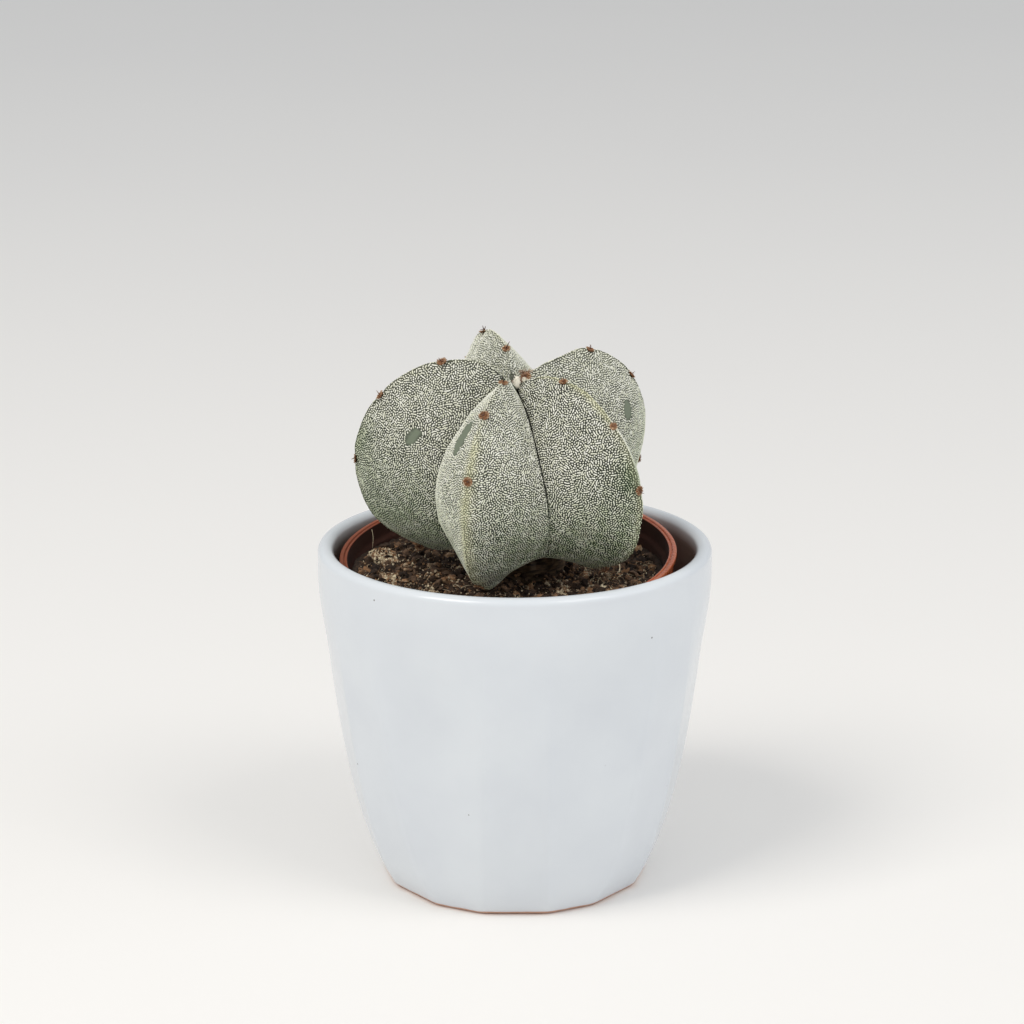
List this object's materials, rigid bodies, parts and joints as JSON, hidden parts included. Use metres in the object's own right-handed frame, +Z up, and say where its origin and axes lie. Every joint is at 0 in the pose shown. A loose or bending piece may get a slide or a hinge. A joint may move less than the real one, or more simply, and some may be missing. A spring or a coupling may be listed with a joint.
{
  "type": "potted bishop's cap cactus",
  "caption": "Grey-flecked star-shaped cactus with fat ribs, rooted in compost in a thin plastic grower's pot that stands inside a pale glazed faceted ceramic pot.",
  "frame": {"origin": "middle of the ceramic pot's foot, on the surface that it stands on", "axes": "+Z up, -Y towards the pictured front, +X to the right as pictured"},
  "size_m": [0.123, 0.1229, 0.1768],
  "materials": {
    "pot_glaze": "gloss",
    "grower_plastic": "satin",
    "compost": "matte",
    "cactus_skin": "matte"
  },
  "bodies": {
    "root": {"ceramic_pot": "pot_glaze", "grower_pot": "grower_plastic", "compost": "compost", "cactus": "cactus_skin"}
  },
  "joints": []
}
